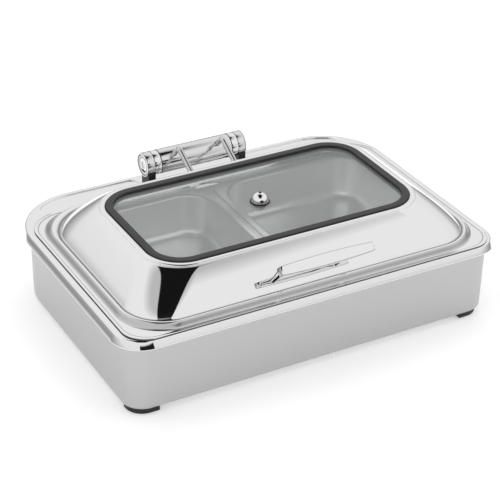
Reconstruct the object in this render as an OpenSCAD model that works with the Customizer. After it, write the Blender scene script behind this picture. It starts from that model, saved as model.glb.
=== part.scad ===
// Chafing dish with two food pans and a hinged lid with a glass window.
// Millimetres, +Z up, +X to the right, +Y to the back. The origin is on the table under the middle of the dish.

/* [Food pans] */
// Length of one pan's place in the frame, along the dish
pan_l = 265; // [220:1:290]
// Width of a pan's place in the frame, front to back
pan_w = 325; // [280:1:345]
// Depth of a pan below its flange
pan_depth = 65; // [40:1:80]
// Width of a pan's flange
pan_flange = 13; // [11:0.5:16]
// Corner radius of a pan's opening
pan_r = 46; // [36:1:60]
// How far a pan's wall leans in from flange to floor
pan_lean = 6; // [2:0.5:10]
// Radius between a pan's wall and floor
pan_floor_r = 15; // [10:0.5:20]
// Height of the turned-down edge of a pan's flange
pan_lip = 2; // [1.5:0.1:2.4]
// Thickness of a pan's sheet
pan_t = 0.9; // [0.7:0.1:1.2]

/* [Base] */
// Height of the rim's top above the table
base_h = 126; // [105:1:150]
// Height of the rubber feet
foot_h = 8; // [6:0.5:12]
// Length of a foot along the dish
foot_l = 40; // [34:1:60]
// Width of a foot, front to back
foot_w = 30; // [28:1:50]
// Distance from the tank's lower wall to a foot
foot_inset = 6; // [3:0.5:10]
// Thickness of the base's sheet
base_t = 1.2; // [0.8:0.1:1.6]
// Width of rim that shows beside the lid at each end
rim_side = 14; // [11:0.5:25]
// Width of rim that shows in front of the lid
rim_front = 9.5; // [9.5:0.5:25]
// Depth of the ledge behind the lid
ledge_w = 58.5; // [54:0.5:80]
// Corner radius of the rim at the front
rim_r_front = 45; // [38:1:60]
// Corner radius of the rim at the back
rim_r_back = 105; // [80:1:120]
// Height of the rim's turned-down edge
rim_skirt = 12; // [10:0.5:20]
// Radius of the rim's rolled top edge
rim_roll = 9; // [5:0.5:9.5]
// Depth of the well that the pans sit in
well_d = 3; // [2.6:0.1:4]
// Width of the seat under the pans' flanges
seat_w = 9; // [6:0.5:10]
// Distance from the rim's edge to the tank's wall
tank_inset = 11.4; // [9:0.2:16]
// How far the tank's wall leans in from top to bottom
tank_lean = 1.2; // [0.4:0.1:4]
// Radius of the tank's lower edge
tank_edge_r = 9; // [5:0.5:14]
// Depth of the drip troughs in the ledge
trough_d = 2; // [1:0.2:3]

/* [Lid] */
// Width that the lid covers beside the pans
lid_side = 26; // [24:0.5:32]
// Width that the lid covers in front of and behind the pans
lid_front = 20.5; // [19:0.5:26]
// Thickness of the lid's sheet
lid_t = 1.2; // [0.8:0.1:1.5]
// Height of the riser above the lid's flange
riser_h = 8.4; // [6:0.2:12]
// Depth of the crease round the foot of the panels
crease_d = 1.8; // [1:0.1:2.4]
// Height of the panels, crease to bead
panel_h = 42; // [30:1:50]
// Horizontal run of the front and back panels, crease to bead
panel_run = 46.7; // [40:0.1:50]
// Horizontal run of the end panels, crease to bead
panel_run_side = 48.5; // [42:0.1:52]
// Slope of the panels at their foot, in degrees
panel_foot_slope = 14; // [8:1:30]
// Slope of the panels at the bead, in degrees
panel_top_slope = 30; // [20:1:45]
// Length of the shallow stretch at the panels' foot
panel_foot_pull = 23; // [14:1:26]
// Length of the shallow stretch at the bead
panel_top_pull = 23; // [14:1:26]
// Width of the bead round the window
bead_w = 9; // [7:0.5:12]
// Height of the bead
bead_h = 2.4; // [1.5:0.1:3]
// Corner radius of the window's gasket
window_r = 52; // [40:1:60]
// Width of the gasket's face
gasket_w = 11; // [9:0.5:14]
// Thickness of the glass
glass_t = 4; // [3:0.5:5]
// Diameter of the steam vent's cap
vent_d = 26.6; // [20:0.2:34]
// Height of the steam vent's dome
vent_h = 13; // [8:0.5:13]
// How far the steam vent sits in front of the window's middle
vent_forward = 3.5; // [-20:0.5:20]

/* [Handle] */
// Length of the handle bar
bar_l = 147; // [110:1:190]
// Height of the bar's face at its ends
bar_end_h = 12.5; // [10:0.5:16]
// Height of the bar's face in the middle
bar_mid_h = 17; // [14:0.5:22]
// Thickness of the bar
bar_t = 11; // [8:0.5:14]
// Distance between the two posts
post_gap = 102; // [80:1:140]
// Diameter of a post
post_d = 9.5; // [8:0.5:12]
// How far the middle of the bar's face stands in front of the rim
bar_out = 0; // [-8:0.5:15]
// Height of the middle of the bar's face above the rim
bar_up = 55.5; // [50:0.5:64]
// Tilt of the bar's face from the upright, in degrees
bar_tilt = 46; // [40:1:52]
// Tilt of the posts from the upright, in degrees
post_tilt = 56; // [50:1:60]

/* [Hinge] */
// Distance from the lid's back edge to the hinge's axis
hinge_back = 26; // [25:0.5:30]
// Height of the hinge's axis above the rim
hinge_up = 31.2; // [30:0.2:36]
// Diameter of the barrel
barrel_d = 38; // [34:0.2:40]
// Length of the barrel's turning sleeve
sleeve_l = 120.4; // [110:0.2:140]
// Length of a fixed collar beside the sleeve
collar_l = 11; // [6:0.5:14]
// Length of a bracket's ring at each end
end_l = 12; // [10:0.5:18]
// Thickness of an end cap
cap_t = 1.4; // [1.2:0.2:4]
// Wall of the sleeve
sleeve_t = 3.7; // [3:0.1:5]
// Diameter of the shaft
shaft_d = 12; // [10:0.5:14]
// Distance between the two arms
arm_gap = 74; // [60:1:96]
// Diameter of an arm's rod
arm_d = 8.6; // [7:0.2:10]
// Radius of an arm's bend, at the middle of the rod
arm_bend_r = 10; // [8:0.5:13]

/* [Hidden] */

// Smoothness of round surfaces
$fn = 96;
// Clearance round a pan's flange in the well
pan_clear = 1;
// Clearance between pieces that rest on each other across a joint
rest_gap = 0.3;
// Clearance of pieces that are fixed in a hole or on a seat
slip = 0.1;
// Clearance of a turning fit
run_gap = 0.05;
// Clearance between turning and fixed ends of the barrel
end_gap = 0.5;
// Clearance of the gasket in the lid's window, wide enough for the flats of its rounded corners
gasket_gap = 0.4;

// Plan sizes, worked out from the pans to the rim. Y starts at the rim's front edge.
well_l = 2 * pan_l;
well_r = 26;
lid_l = well_l + 2 * lid_side;
lid_w = pan_w + 2 * lid_front;
rim_l = lid_l + 2 * rim_side;
rim_w = lid_w + rim_front + ledge_w;
lid_y = rim_front + lid_w / 2;
lid_back_y = rim_front + lid_w;
hinge_y = lid_back_y + hinge_back;
hinge_z = base_h + hinge_up;
seat_z = base_h - well_d;
tank_l = rim_l - 2 * tank_inset;
tank_w = rim_w - 2 * tank_inset;

// Rings of the lid, front corner radius and back corner radius of each stage
flange_r = [36, 50];
crease_r = [57, 72];
bead_r = [window_r + bead_w, window_r + bead_w];
// Width of the lid's flange and lean of its riser, at the ends and at the front and back
flange_side = 10;
flange_front = 4.5;
riser_side = 6.5;
riser_front = 2.5;
// Width of the ledge on top of the riser and of the crease
lid_ledge = 2.6;
crease_w = 5;
// Radius of the riser's upper and lower bends
riser_r = 2.2;
// Bottom of the lid's flange, foot and top of the panels, and top of the gasket
lid_z = base_h + rest_gap;
panel_z = lid_z + lid_t + riser_h;
bead_z = panel_z + panel_h;
gasket_edge = 0.6;
gasket_z = bead_z + bead_h + gasket_edge;
window_l = lid_l - 2 * (flange_side + riser_side + lid_ledge + crease_w + panel_run_side + bead_w);
window_w = lid_w - 2 * (flange_front + riser_front + lid_ledge + crease_w + panel_run + bead_w);
// Gasket: lip over the glass, grip on its edge, web behind it
gasket_lip = 4.4;
gasket_grip = 5.5;
gasket_sole = 2.4;
glass_z = gasket_z - gasket_lip - glass_t;
gasket_bottom = glass_z - gasket_sole;
glass_edge = gasket_w - gasket_grip;

// Curve of a panel, from the crease (0) to the bead (1): distance in, and height
panel_curve = [[0, 0],
    panel_foot_pull * [cos(panel_foot_slope), sin(panel_foot_slope)],
    [panel_run, panel_h] - panel_top_pull * [cos(panel_top_slope), sin(panel_top_slope)],
    [panel_run, panel_h]];
function bezier(p, t) = pow(1 - t, 3) * p[0] + 3 * t * pow(1 - t, 2) * p[1]
    + 3 * t * t * (1 - t) * p[2] + pow(t, 3) * p[3];
function bezier_way(p, t) = pow(1 - t, 2) * (p[1] - p[0]) + 2 * t * (1 - t) * (p[2] - p[1])
    + t * t * (p[3] - p[2]);
function slope_at(t) = atan2(bezier_way(panel_curve, t)[1], bezier_way(panel_curve, t)[0]);
panel_in_front = flange_front + riser_front + lid_ledge + crease_w;

// Handle: the posts run from the bar's back to the front panel
function front_panel(t) = [rim_front + panel_in_front, panel_z] + bezier(panel_curve, t);
bar_back = [bar_t * sin(bar_tilt) - bar_out, base_h + bar_up - bar_t * cos(bar_tilt)];
function above_post(t) = cross(front_panel(t) - bar_back, [sin(post_tilt), -cos(post_tilt)]);
function meet(low, high, steps) = let (mid = (low + high) / 2)
    steps == 0 ? mid : above_post(mid) > 0 ? meet(mid, high, steps - 1) : meet(low, mid, steps - 1);
post_seat = meet(0, 1, 30);
post_foot = front_panel(post_seat);
post_slope = slope_at(post_seat);
post_l = norm(post_foot - bar_back);
seat_lift = 0.2;
// The bar's lower edge past the rim, which puts the origin in the middle of the whole dish
bar_reach = max(0, bar_out + bar_mid_h / 2 * cos(bar_tilt));
middle_y = (rim_w - bar_reach) / 2;

// Hinge arms: foot on the back panel, bend, and the barrel's upper front
arm_seat = 0.68;
arm_slope = slope_at(arm_seat);
arm_foot = [lid_back_y - panel_in_front - bezier(panel_curve, arm_seat)[0],
    panel_z + bezier(panel_curve, arm_seat)[1]];
arm_rise = 41.3;
arm_end_angle = 131.8;
arm_way = [cos(arm_end_angle), sin(arm_end_angle)];
arm_bend = [hinge_y, hinge_z] + arm_rise * arm_way;
arm_end = [hinge_y, hinge_z] + (barrel_d / 2 + slip) * arm_way;
arm_foot_d = 15;
arm_foot_t = 3;
stud_d = 5;
stud_out = 6;
// The arms' bent lengths swell a little and run a few degrees onto each straight
bend_swell = 0.12;
bend_over = 3;

// Points along an arc
function arc(centre, r, from, to, steps) =
    [for (i = [0 : steps]) let (a = from + (to - from) * i / steps) centre + r * [cos(a), sin(a)]];

// Places a piece that was drawn with Y from the rim's front edge
module placed() {
    translate([0, -middle_y, 0]) children();
}

// Filled rounded rectangle about the origin, with one corner radius at the front and one at the back
module outline(l, w, r_front, r_back) {
    x = l / 2;
    y = w / 2;
    polygon([[r_front - x, -y], [x - r_front, -y], [x, r_front - y], [x, y - r_back],
        [x - r_back, y], [r_back - x, y], [-x, y - r_back], [-x, r_front - y]]);
    for (side = [-1, 1]) {
        translate([side * (x - r_front), r_front - y]) circle(r_front);
        translate([side * (x - r_back), y - r_back]) circle(r_back);
    }
}

// Runs a profile round a rounded rectangle: the profile's x is outward from the outline, its y is up
module swept(l, w, r_front, r_back) {
    x = l / 2;
    y = w / 2;
    straight(0, x, r_front - y, y - r_back) children();
    straight(90, y, r_back - x, x - r_back) children();
    straight(180, x, r_back - y, y - r_front) children();
    straight(270, y, r_front - x, x - r_front) children();
    bend(0, [x - r_back, y - r_back], r_back) children();
    bend(90, [r_back - x, y - r_back], r_back) children();
    bend(180, [r_front - x, r_front - y], r_front) children();
    bend(270, [x - r_front, r_front - y], r_front) children();
}

// One straight side of a swept profile
module straight(turn, out, from, to) {
    rotate([0, 0, turn]) translate([out, to, 0]) rotate([90, 0, 0]) linear_extrude(to - from) children();
}

// One rounded corner of a swept profile
module bend(turn, centre, r) {
    translate([centre[0], centre[1], 0]) rotate([0, 0, turn])
        rotate_extrude(angle = 90) translate([r, 0]) children();
}

// Cylinder along X, with its middle at the origin
module bar_x(r, l) {
    rotate([0, 90, 0]) cylinder(r = r, h = l, center = true);
}

// Brushed tank: leaning wall, rounded lower edge and flat floor
module water_tank() {
    top = base_h - base_t;
    lean = atan2(tank_lean, top - foot_h);
    knee = [-tank_lean - tank_edge_r, foot_h + tank_edge_r];
    color("silver") placed() translate([0, rim_w / 2, 0]) {
        swept(tank_l, tank_w, rim_r_front - tank_inset, rim_r_back - tank_inset)
            polygon(concat([[0, top]], arc(knee, tank_edge_r, -lean, -90, 6), [[knee[0], foot_h + base_t]],
                arc(knee, tank_edge_r - base_t, -90, -lean, 6), [[-base_t, top]]));
        translate([0, 0, foot_h]) linear_extrude(base_t)
            outline(tank_l + 2 * knee[0], tank_w + 2 * knee[0],
                rim_r_front - tank_inset + knee[0], rim_r_back - tank_inset + knee[0]);
    }
}

// Outline of a drip trough: it follows the rim round the back corner to a round tip beside the lid's back
// edge, and ends beside the hinge. It can be grown by the sheet's thickness.
trough_inset = tank_inset + 2 * base_t + rest_gap;
trough_front = 4;
trough_r = 14;
trough_hinge = 4.5;
module trough(side, grow) {
    front = lid_back_y + trough_front - grow;
    back = rim_w - trough_inset + grow;
    inner = bracket_x + end_l + trough_hinge - grow;
    r = trough_r + grow;
    bend = [rim_l / 2 - rim_r_back, rim_w - rim_r_back];
    bend_r = rim_r_back - trough_inset + grow;
    tip_up = front + r - bend[1];
    tip = bend + [sqrt(pow(bend_r - r, 2) - pow(tip_up, 2)), tip_up];
    past = bend + (tip - bend) * (bend_r + r) / (bend_r - r);
    scale([side, 1]) {
        intersection() {
            translate([0, rim_w / 2]) outline(rim_l - 2 * trough_inset + 2 * grow,
                rim_w - 2 * trough_inset + 2 * grow, rim_r_front - trough_inset + grow, bend_r);
            polygon([[inner + r, front], [tip[0], front], tip, past, [bend[0], rim_w], [inner + r, rim_w]]);
        }
        translate(tip) circle(r);
        polygon([[inner, front + r], [inner + r, front], [inner + r, back], [inner, back - r]]);
        translate([inner + r, front + r]) circle(r);
        translate([inner + r, back - r]) circle(r);
    }
}

// Polished frame: rolled edge, flat top, pan well with its seat, and the ledge's drip troughs
module rim_frame() {
    roll = [-rim_roll, base_h - rim_roll];
    color("gainsboro") placed() difference() {
        union() {
            translate([0, rim_w / 2, 0]) {
                swept(rim_l, rim_w, rim_r_front, rim_r_back)
                    polygon(concat([[0, base_h - rim_skirt]], arc(roll, rim_roll, 0, 90, 8),
                        arc(roll, rim_roll - base_t, 90, 0, 8), [[-base_t, base_h - rim_skirt]]));
                translate([0, 0, base_h - base_t]) linear_extrude(base_t)
                    outline(rim_l - 2 * rim_roll, rim_w - 2 * rim_roll,
                        rim_r_front - rim_roll, rim_r_back - rim_roll);
            }
            translate([0, lid_y, seat_z - base_t]) linear_extrude(well_d + base_t / 2)
                outline(well_l + 2 * base_t, pan_w + 2 * base_t, well_r + base_t, well_r + base_t);
            for (side = [-1, 1])
                translate([0, 0, base_h - trough_d - base_t]) linear_extrude(trough_d + base_t / 2)
                    trough(side, base_t);
        }
        translate([0, lid_y, seat_z]) linear_extrude(2 * well_d) outline(well_l, pan_w, well_r, well_r);
        translate([0, lid_y, seat_z - 2 * base_t]) linear_extrude(3 * base_t)
            outline(well_l - 2 * seat_w, pan_w - 2 * seat_w, well_r, well_r);
        for (side = [-1, 1])
            translate([0, 0, base_h - trough_d]) linear_extrude(2 * trough_d) trough(side, 0);
        hinge_screw_places() cylinder(d = screw_d + 2 * slip, h = 8 * base_t, center = true);
    }
}

// Bar under the flanges where the two pans meet, welded below the seat
module pan_support_bar() {
    bar_w = 16;
    bar_h = 2;
    color("silver") placed() translate([0, lid_y, seat_z]) {
        translate([-bar_w / 2, -pan_w / 2 + seat_w + slip, -base_t])
            cube([bar_w, pan_w - 2 * seat_w - 2 * slip, base_t]);
        translate([-bar_w / 2, -pan_w / 2 + 2, -base_t - bar_h]) cube([bar_w, pan_w - 4, bar_h]);
    }
}

// Magnetic plate bonded under the tank
module base_plate() {
    plate_t = 4;
    plate_r = 40;
    margin = 70;
    color("dimgray") placed() translate([0, rim_w / 2, foot_h - plate_t]) linear_extrude(plate_t)
        outline(tank_l - 2 * margin, tank_w - 2 * margin, plate_r, plate_r);
}

// Feet: pads rounded like the tank's front corners, each pushed onto a stud welded under the floor.
// The back pads stand further in, because the tank's back corners are rounder.
foot_edge = tank_inset + tank_lean + foot_inset;
foot_r = rim_r_front - foot_edge;
foot_back_in = (rim_r_back - rim_r_front) * (1 - sqrt(0.5));
foot_stud_d = 6;
foot_stud_l = 5;
module at_foot(x_side, back) {
    in = foot_edge + (back ? foot_back_in : 0);
    translate([x_side * (rim_l / 2 - in), back ? rim_w - in : in, 0]) children();
}
module at_foot_stud(x_side, back) {
    at_foot(x_side, back) translate([-x_side * foot_r, (back ? -1 : 1) * foot_w / 2, foot_h]) children();
}
module foot(x_side, back) {
    color("black") placed() difference() {
        at_foot(x_side, back) linear_extrude(foot_h) scale([x_side, back ? 1 : -1]) {
            polygon([[-foot_l, -foot_w], [0, -foot_w], [0, -foot_r], [-foot_r, 0], [-foot_l, 0]]);
            translate([-foot_r, -foot_r]) intersection() {
                circle(foot_r);
                square(foot_r);
            }
        }
        at_foot_stud(x_side, back) translate([0, 0, -foot_stud_l - slip])
            cylinder(d = foot_stud_d + 2 * slip, h = 2 * foot_stud_l);
    }
}
module foot_studs() {
    color("silver") placed() for (x_side = [-1, 1], back = [false, true])
        at_foot_stud(x_side, back) translate([0, 0, -foot_stud_l]) cylinder(d = foot_stud_d, h = foot_stud_l);
}

// Hinge, fixed side. Each bracket's front stands just behind the barrel's front.
screw_d = 5;
screw_l = 16;
screw_gap = 13;
pedestal_w = 24;
pedestal_step = 0.5;
spigot_d = 22;
spigot_l = 3;
shaft_end = 0.5;
backing_t = 3;
backing_margin = 2;
collar_x = sleeve_l / 2 + end_gap;
bracket_x = collar_x + collar_l;
pedestal_y = hinge_y - barrel_d / 2 + pedestal_step + pedestal_w / 2;
module at_hinge() {
    translate([0, hinge_y, hinge_z]) children();
}
module hinge_screw_places() {
    for (side = [-1, 1], way = [-1, 1])
        translate([side * (bracket_x + end_l / 2), pedestal_y + way * screw_gap / 2, base_h]) children();
}
// Bracket: a ring on the shaft with its pedestal, screwed to the ledge from below
module hinge_bracket(side) {
    color("silver") placed() difference() {
        union() {
            at_hinge() translate([side * (bracket_x + end_l / 2), 0, 0]) bar_x(barrel_d / 2, end_l);
            translate([side * (bracket_x + end_l / 2) - end_l / 2, pedestal_y - pedestal_w / 2, base_h])
                cube([end_l, pedestal_w, hinge_up]);
        }
        at_hinge() {
            bar_x(shaft_d / 2 + slip, 4 * sleeve_l);
            translate([side * (bracket_x + end_l), 0, 0]) bar_x(spigot_d / 2 + slip, 2 * (spigot_l + slip));
        }
        hinge_screw_places() translate([0, 0, -base_t])
            cylinder(d = screw_d + 2 * slip, h = screw_l - backing_t + slip);
    }
}
// Collar between the sleeve and a bracket, fixed on the shaft
module hinge_collar(side) {
    color("gainsboro") placed() at_hinge() translate([side * (collar_x + collar_l / 2), 0, 0]) difference() {
        bar_x(barrel_d / 2, collar_l);
        bar_x(shaft_d / 2 + slip, 2 * collar_l);
    }
}
// Cap on a bracket's end
module hinge_cap(side) {
    edge_r = cap_t * 0.6;
    color("gainsboro") placed() at_hinge() translate([side * (bracket_x + end_l), 0, 0])
        rotate([0, side * 90, 0]) rotate_extrude()
            polygon(concat([[0, -spigot_l], [spigot_d / 2, -spigot_l], [spigot_d / 2, 0], [barrel_d / 2, 0]],
                arc([barrel_d / 2 - edge_r, cap_t - edge_r], edge_r, 0, 90, 6), [[0, cap_t]]));
}
module hinge_shaft() {
    color("gray") placed() at_hinge() bar_x(shaft_d / 2, 2 * (bracket_x + end_l - spigot_l - shaft_end));
}
module hinge_backing_plate() {
    color("silver") placed() difference() {
        translate([0, pedestal_y, base_h - base_t - backing_t]) linear_extrude(backing_t)
            outline(2 * (bracket_x + end_l + backing_margin), pedestal_w + 4 * backing_margin,
                screw_d, screw_d);
        hinge_screw_places() cylinder(d = screw_d + 2 * slip, h = 4 * (base_t + backing_t), center = true);
    }
}
module hinge_screws() {
    head_d = 9;
    head_h = 3;
    color("gray") placed() hinge_screw_places() translate([0, 0, -base_t - backing_t]) {
        cylinder(d = screw_d, h = screw_l);
        translate([0, 0, -head_h]) cylinder(d = head_d, h = head_h);
    }
}

// Food pan: flange with a turned-down lip, leaning wall, rounded foot and flat floor
module food_pan(side) {
    l = pan_l - 2 * pan_clear;
    w = pan_w - 2 * pan_clear;
    top = seat_z + rest_gap + pan_lip;
    brim_r = 5;
    lean = atan2(pan_lean, pan_depth);
    floor_z = pan_floor_r - pan_depth;
    drop = floor_z - pan_floor_r * sin(lean) + brim_r * (1 - sin(lean));
    floor_u = brim_r * (1 - cos(lean)) + drop * tan(lean) - pan_floor_r * cos(lean);
    open_l = l - 2 * pan_flange;
    open_w = w - 2 * pan_flange;
    color("darkgray") placed() translate([side * pan_l / 2, lid_y, top]) {
        swept(open_l, open_w, pan_r, pan_r)
            polygon(concat(arc([brim_r, -brim_r], brim_r, 90, 180 - lean, 5),
                arc([floor_u, floor_z], pan_floor_r, -lean, -90, 7),
                arc([floor_u, floor_z], pan_floor_r + pan_t, -90, -lean, 7),
                arc([brim_r, -brim_r], brim_r - pan_t, 180 - lean, 90, 5)));
        translate([0, 0, -pan_depth - pan_t]) linear_extrude(pan_t)
            outline(open_l + 2 * floor_u, open_w + 2 * floor_u, pan_r + floor_u, pan_r + floor_u);
        translate([0, 0, -pan_t]) linear_extrude(pan_t) difference() {
            outline(l, w, well_r - pan_clear, well_r - pan_clear);
            outline(open_l + 2 * brim_r, open_w + 2 * brim_r, pan_r + brim_r, pan_r + brim_r);
        }
        translate([0, 0, -pan_lip]) linear_extrude(pan_lip - pan_t / 2) difference() {
            outline(l, w, well_r - pan_clear, well_r - pan_clear);
            outline(l - 2 * pan_t, w - 2 * pan_t, well_r - pan_clear - pan_t, well_r - pan_clear - pan_t);
        }
    }
}

// Lid shell. Its profile runs from the flange's edge to the window seat, as [in at the ends, in at the
// front and back, height, blend of corner radii from flange (0) by crease (1) to bead (2)].
function blend(a, b, t) = a + (b - a) * t;
panel_steps = 8;
bead_steps = 6;
crease_steps = 4;
riser_steps = 3;
lid_top = lid_z + lid_t;
riser_top = lid_top + riser_h;
in_crease = [flange_side + riser_side + lid_ledge, flange_front + riser_front + lid_ledge];
in_panel = in_crease + [crease_w, crease_w];
in_bead = in_panel + [panel_run_side, panel_run];
in_window = in_bead + [bead_w, bead_w];
seat_in = gasket_w - 2;
shell_profile = concat(
    [[0, 0, lid_z, 0], [0, 0, lid_top, 0]],
    [for (i = [0 : riser_steps]) let (a = 90 * i / riser_steps)
        [flange_side + riser_r * (sin(a) - 1), flange_front + riser_r * (sin(a) - 1) * 0.5,
            lid_top + riser_r * (1 - cos(a)), 0.1]],
    [for (i = [0 : riser_steps]) let (a = 90 * i / riser_steps)
        [flange_side + riser_side - riser_r * cos(a) * 0.5, flange_front + riser_front - riser_r * cos(a) * 0.5,
            riser_top - riser_r * (1 - sin(a)), 0.6]],
    [for (i = [0 : crease_steps]) let (t = i / crease_steps)
        [in_crease[0] + crease_w * t, in_crease[1] + crease_w * t,
            riser_top - crease_d * sin(180 * t), blend(0.8, 1, t)]],
    [for (i = [1 : panel_steps]) let (p = bezier(panel_curve, i / panel_steps))
        [in_panel[0] + p[0] * panel_run_side / panel_run, in_panel[1] + p[0],
            panel_z + p[1], 1 + i / panel_steps]],
    [for (i = [1 : bead_steps]) let (a = 180 * i / bead_steps)
        [in_bead[0] + bead_w * (1 - cos(a)) / 2, in_bead[1] + bead_w * (1 - cos(a)) / 2,
            bead_z + bead_h * sin(a), 2 + i / bead_steps]],
    [[in_window[0], in_window[1], gasket_bottom - slip, 3],
        [in_window[0] + seat_in, in_window[1] + seat_in, gasket_bottom - slip, 3.8]]);

// Corner radii at a stage of the profile: flange, crease, bead, window, window seat
stage_r = [flange_r, crease_r, bead_r, [window_r, window_r], [window_r - seat_in, window_r - seat_in]];
function radii(stage) = let (k = min(floor(stage), 3)) blend(stage_r[k], stage_r[k + 1], stage - k);

// The sheet's inner face: each point moved in by the sheet's thickness, square to the profile
function inner_point(i) = let (p = shell_profile, n = len(p) - 1, a = p[max(i - 1, 0)], b = p[min(i + 1, n)],
        side = [b[0] - a[0], b[2] - a[2]], front = [b[1] - a[1], b[2] - a[2]])
    i == 0 ? [lid_t, lid_t, lid_z, 0]
    : i == 1 ? [lid_t * 1.5, lid_t * 1.5, lid_z, 0]
    : i == n ? [p[n][0], p[n][1], p[n][2] - lid_t, p[n][3]]
    : i == n - 1 ? [p[i][0] - lid_t, p[i][1] - lid_t, p[i][2] - lid_t, p[i][3]]
    : [p[i][0] + lid_t * side[1] / norm(side), p[i][1] + lid_t * front[1] / norm(front),
        max(lid_z, p[i][2] - lid_t * side[0] / norm(side)), p[i][3]];
shell_rings = concat(shell_profile, [for (i = [len(shell_profile) - 1 : -1 : 2]) inner_point(i)]);

corner_steps = 8;
// One ring of points round the lid, anticlockwise from the back right corner
function ring(stage) = let (r = radii(stage[3]), x = lid_l / 2 - stage[0], y = lid_w / 2 - stage[1])
    [for (corner = [0 : 3], i = [0 : corner_steps])
        let (rc = corner < 2 ? r[1] : r[0], sx = corner == 0 || corner == 3 ? 1 : -1, sy = corner < 2 ? 1 : -1,
            a = 90 * (corner + i / corner_steps))
        [sx * (x - rc) + rc * cos(a), sy * (y - rc) + rc * sin(a), stage[2]]];
ring_n = 4 * (corner_steps + 1);
module shell_solid() {
    rings = len(shell_rings);
    polyhedron([for (stage = shell_rings) each ring(stage)],
        [for (k = [0 : rings - 1], i = [0 : ring_n - 1])
            let (a = k * ring_n, b = (k + 1) % rings * ring_n, j = (i + 1) % ring_n)
            each [[a + i, b + i, b + j], [a + i, b + j, a + j]]]);
}
module lid_shell() {
    color("whitesmoke") placed() difference() {
        translate([0, lid_y, 0]) shell_solid();
        at_posts() cylinder(d = handle_screw_d + 2 * slip, h = 10 * lid_t, center = true);
        at_arms() cylinder(d = stud_d + 2 * slip, h = 10 * lid_t, center = true);
    }
}

// Black gasket: a channel that grips the glass all round and sits in the window seat
module window_gasket() {
    color([0.2, 0.2, 0.19]) placed() translate([0, lid_y, 0])
        swept(window_l - 2 * gasket_gap, window_w - 2 * gasket_gap,
            window_r - gasket_gap, window_r - gasket_gap)
            polygon([[0, gasket_bottom], [0, gasket_z - gasket_edge], [-gasket_edge, gasket_z],
                [-gasket_w + gasket_edge, gasket_z], [-gasket_w, gasket_z - gasket_edge],
                [-gasket_w, glass_z + glass_t], [-glass_edge, glass_z + glass_t], [-glass_edge, glass_z],
                [-gasket_w + gasket_edge, glass_z], [-gasket_w + gasket_edge, gasket_bottom]]);
}
module window_glass() {
    in = gasket_gap + glass_edge + slip;
    color([0.75, 0.78, 0.78, 0.4]) placed() difference() {
        translate([0, lid_y, glass_z + slip / 2]) linear_extrude(glass_t - slip)
            outline(window_l - 2 * in, window_w - 2 * in, window_r - in, window_r - in);
        at_vent() cylinder(d = vent_stem_d + 2 * rest_gap, h = 4 * glass_t, center = true);
    }
}

// Steam vent: a domed cap on a hollow stem through the glass, on a rubber seal, held by a washer and a nut
vent_stem_d = 10;
vent_hole_d = 4.5;
vent_seal_t = 2;
vent_seal_step = 1.3;
vent_washer_t = 1.5;
vent_nut_t = 5;
vent_stem_out = 1;
vent_stem_l = vent_seal_t + glass_t + vent_washer_t + vent_nut_t + vent_stem_out;
module at_vent() {
    translate([0, lid_y - vent_forward, glass_z + glass_t]) children();
}
module vent_cap() {
    dome_r = (pow(vent_d / 2, 2) + vent_h * vent_h) / (2 * vent_h);
    from = asin(max(0, dome_r - vent_h) / dome_r);
    color("gainsboro") placed() at_vent() translate([0, 0, vent_seal_t]) rotate_extrude() difference() {
        union() {
            polygon(concat([[0, 0], [vent_d / 2, 0]], arc([0, vent_h - dome_r], dome_r, from, 90, 12)));
            translate([0, -vent_stem_l]) square([vent_stem_d / 2, vent_stem_l + vent_seal_t]);
        }
        translate([-vent_hole_d, -2 * vent_stem_l]) square([1.5 * vent_hole_d, 4 * vent_stem_l]);
    }
}
module vent_seal() {
    color("black") placed() at_vent() difference() {
        cylinder(r = vent_d / 2 + vent_seal_step, h = vent_seal_t);
        cylinder(d = vent_stem_d + 2 * slip, h = 4 * vent_seal_t, center = true);
    }
}
module vent_washer() {
    color("dimgray") placed() at_vent() translate([0, 0, -glass_t - vent_washer_t]) difference() {
        cylinder(d = 2 * vent_stem_d, h = vent_washer_t);
        cylinder(d = vent_stem_d + 2 * slip, h = 4 * vent_washer_t, center = true);
    }
}
module vent_nut() {
    color("silver") placed() at_vent() translate([0, 0, -glass_t - vent_washer_t - vent_nut_t]) difference() {
        cylinder(d = 1.7 * vent_stem_d, h = vent_nut_t, $fn = 6);
        cylinder(d = vent_stem_d + 2 * slip, h = 4 * vent_nut_t, center = true);
    }
}

// Handle
washer_t = 1;
module on_front_panel(x, lift) {
    translate([x, post_foot[0], post_foot[1]]) rotate([post_slope, 0, 0]) translate([0, 0, lift]) children();
}
module at_posts() {
    for (side = [-1, 1]) on_front_panel(side * post_gap / 2, 0) children();
}
module on_bar(x) {
    translate([x, bar_back[0], bar_back[1]]) rotate([bar_tilt, 0, 0]) children();
}
// Post: one end is cut to the bar's back and the other to the panel's slope, where it takes a screw from
// inside the lid
module handle_post(side) {
    x = side * post_gap / 2;
    color("silver") placed() difference() {
        translate([x, bar_back[0], bar_back[1]]) rotate([post_tilt, 0, 0])
            translate([0, 0, -post_l - post_d]) cylinder(d = post_d, h = post_l + 2 * post_d);
        on_bar(x) translate([-post_d, -2 * post_d, 0]) cube([2 * post_d, 4 * post_d, 4 * post_d]);
        on_front_panel(x, seat_lift - 2 * post_d) translate([-post_d, -2 * post_d, 0])
            cube([2 * post_d, 4 * post_d, 2 * post_d]);
        on_front_panel(x, 0) cylinder(d = handle_screw_d + 2 * slip, h = handle_screw_l - lid_t - washer_t);
    }
}
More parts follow.
